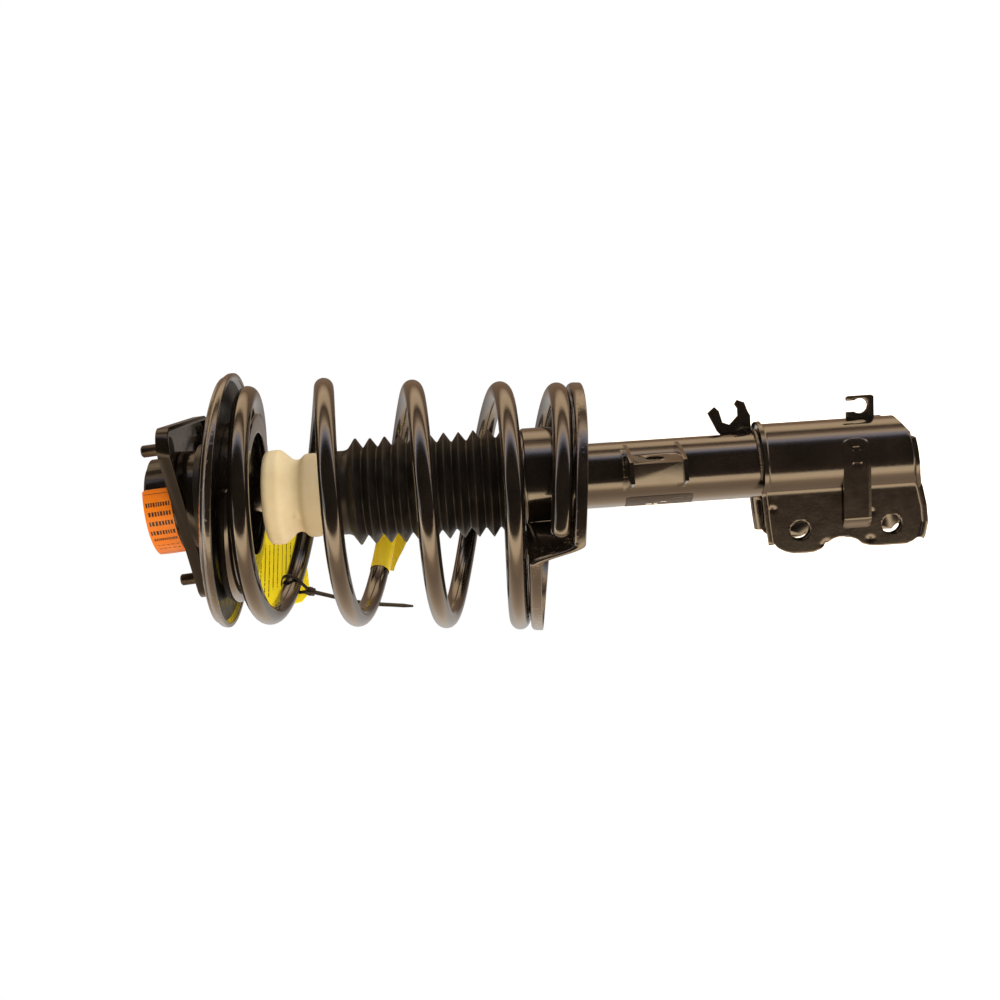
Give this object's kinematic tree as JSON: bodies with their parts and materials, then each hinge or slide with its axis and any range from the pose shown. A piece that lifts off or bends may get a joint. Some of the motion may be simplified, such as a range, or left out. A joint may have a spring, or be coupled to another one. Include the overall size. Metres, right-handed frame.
{
  "type": "strut assembly",
  "caption": "Front suspension strut: damper tube with a sprung piston rod, coil spring between two seats, top mount with studs, knuckle bracket with ears and a link bracket.",
  "frame": {"origin": "centre of the locating dome on the face of the top mount that bolts to the strut tower", "axes": "+Z along the piston rod towards the strut tower, +Y along the two knuckle bolts, +X to the side of the tube that the knuckle bolts to"},
  "size_m": [0.1927, 0.1769, 0.5307],
  "materials": {
    "gloss_black_paint": "gloss",
    "zinc_plated_steel": "satin",
    "machined_steel": "satin",
    "chromed_rod": "polished",
    "black_rubber": "matte",
    "ivory_urethane": "satin",
    "seal_plastic": "satin",
    "black_nylon": "satin",
    "yellow_tag_stock": "satin",
    "orange_label_stock": "satin",
    "black_label_stock": "satin"
  },
  "bodies": {
    "mount": {"mount_plate": "gloss_black_paint", "mount_cup": "gloss_black_paint", "mount_bushing": "black_rubber", "inner_sleeve": "zinc_plated_steel", "mount_studs": "zinc_plated_steel", "dust_cap": "black_rubber", "warning_label": "orange_label_stock", "rod_nut": "zinc_plated_steel", "rod_washer": "zinc_plated_steel", "sleeve_washer": "zinc_plated_steel", "bearing_upper_race": "machined_steel", "piston_rod": "chromed_rod", "bump_stop": "ivory_urethane", "rebound_stop": "ivory_urethane", "piston": "machined_steel", "piston_seal": "seal_plastic", "piston_valve_discs": "machined_steel", "piston_nut": "zinc_plated_steel"},
    "swivel": {"bearing_lower_race": "machined_steel", "bearing_balls": "machined_steel", "bearing_shield": "gloss_black_paint", "upper_spring_seat": "gloss_black_paint", "upper_insulator": "black_rubber", "coil_spring": "gloss_black_paint", "dust_boot": "black_rubber", "hang_tag": "yellow_tag_stock", "tag_eyelet": "zinc_plated_steel", "cable_tie": "black_nylon", "spring_sticker": "yellow_tag_stock"},
    "strut": {"strut_tube": "gloss_black_paint", "tube_bottom_cap": "gloss_black_paint", "inner_cylinder": "machined_steel", "base_valve": "machined_steel", "rod_guide": "machined_steel", "rod_seal": "black_rubber", "striker_cap": "zinc_plated_steel", "lower_seat_hub": "gloss_black_paint", "lower_spring_seat": "gloss_black_paint", "seat_weld": "gloss_black_paint", "link_bracket": "gloss_black_paint", "link_bracket_weld": "gloss_black_paint", "knuckle_bracket": "gloss_black_paint", "bracket_ears": "gloss_black_paint", "bracket_liners": "gloss_black_paint", "bracket_straps": "gloss_black_paint", "hose_clip": "gloss_black_paint", "sensor_bracket": "gloss_black_paint", "tube_label": "black_label_stock"}
  },
  "joints": [
    {"name": "steer_swivel", "type": "hinge", "parent": "mount", "child": "swivel", "pos_m": [0, 0, 0], "axis": [0, 0, 1], "range_deg": [-45, 45]},
    {"name": "strut_compression", "type": "slide", "parent": "swivel", "child": "strut", "axis": [0, 0, 1], "range_m": [0, 0.108], "stiffness_N_per_m": 22000, "springref_m": -0.08, "deforming": ["coil_spring", "dust_boot", "spring_sticker", "cable_tie"]}
  ]
}
